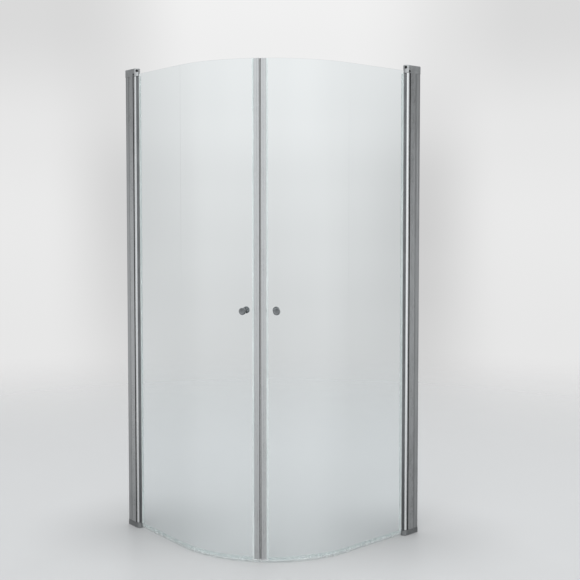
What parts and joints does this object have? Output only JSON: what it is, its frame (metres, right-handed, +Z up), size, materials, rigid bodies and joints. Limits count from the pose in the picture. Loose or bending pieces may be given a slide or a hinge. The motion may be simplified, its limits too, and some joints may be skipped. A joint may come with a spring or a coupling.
{
  "type": "quadrant shower enclosure",
  "caption": "Corner quadrant shower enclosure: bent clear-glass doors hinged in slim satin wall profiles, meeting at magnetic edge strips, with chrome knobs.",
  "frame": {"origin": "on the floor, at the middle of the square footprint; the room's corner is at X -0.45, Y +0.45", "axes": "+Z up; the left wall is the plane X = -0.45 and the right wall the plane Y = +0.45; the doors meet on the diagonal plane X + Y = 0, on the +X -Y side"},
  "size_m": [0.9, 0.9, 2],
  "materials": {
    "satin_aluminium": "satin anodised extrusion, fine lengthwise draw lines",
    "cap_grey": "satin silver-grey lacquer on a die casting",
    "black_rubber": "matt black soft seal",
    "clear_vinyl": "clear soft vinyl seal, slightly milky",
    "clear_glass": "clear toughened glass with a green-blue edge",
    "magnet": "dark flexible magnet strip",
    "chrome": "polished chrome",
    "steel": "stainless steel",
    "black_steel": "steel with a black oxide finish",
    "black_plastic": "black moulded plastic",
    "nylon": "natural nylon"
  },
  "bodies": {
    "wall_frame": {"wall_channel_left": "satin_aluminium", "adjusting_profile_left": "satin_aluminium", "pivot_seal_left": "black_rubber", "top_cap_left": "cap_grey", "bottom_cap_left": "cap_grey", "adjuster_screws_left": "steel", "cap_screws_left": "steel", "lock_screw_left": "black_steel", "pivot_plug_left": "black_plastic", "top_pivot_pin_left": "steel", "bottom_pivot_pin_left": "steel", "thrust_washer_left": "nylon", "wall_channel_right": "satin_aluminium", "adjusting_profile_right": "satin_aluminium", "pivot_seal_right": "black_rubber", "top_cap_right": "cap_grey", "bottom_cap_right": "cap_grey", "adjuster_screws_right": "steel", "cap_screws_right": "steel", "lock_screw_right": "black_steel", "pivot_plug_right": "black_plastic", "top_pivot_pin_right": "steel", "bottom_pivot_pin_right": "steel", "thrust_washer_right": "nylon"},
    "left_door": {"hinge_profile_left": "satin_aluminium", "bottom_bush_left": "nylon", "top_bush_left": "nylon", "hinge_gasket_left": "black_rubber", "glazing_beads_left": "clear_vinyl", "glass_left": "clear_glass", "edge_profile_left": "satin_aluminium", "edge_end_plates_left": "cap_grey", "edge_gasket_left": "clear_vinyl", "magnet_strip_left": "magnet", "bottom_seal_left": "clear_vinyl", "outer_knob_left": "chrome", "inner_knob_left": "chrome", "knob_stud_left": "steel", "knob_washers_left": "nylon"},
    "right_door": {"hinge_profile_right": "satin_aluminium", "bottom_bush_right": "nylon", "top_bush_right": "nylon", "hinge_gasket_right": "black_rubber", "glazing_beads_right": "clear_vinyl", "glass_right": "clear_glass", "edge_profile_right": "satin_aluminium", "edge_end_plates_right": "cap_grey", "edge_gasket_right": "clear_vinyl", "magnet_strip_right": "magnet", "bottom_seal_right": "clear_vinyl", "outer_knob_right": "chrome", "inner_knob_right": "chrome", "knob_stud_right": "steel", "knob_washers_right": "nylon"}
  },
  "joints": [
    {"name": "left_door_hinge", "type": "hinge", "parent": "wall_frame", "child": "left_door", "pos_m": [-0.382, -0.436, 1], "axis": [0, 0, -1], "range_deg": [-75, 95]},
    {"name": "right_door_hinge", "type": "hinge", "parent": "wall_frame", "child": "right_door", "pos_m": [0.436, 0.382, 1], "axis": [0, 0, 1], "range_deg": [-75, 95]}
  ]
}
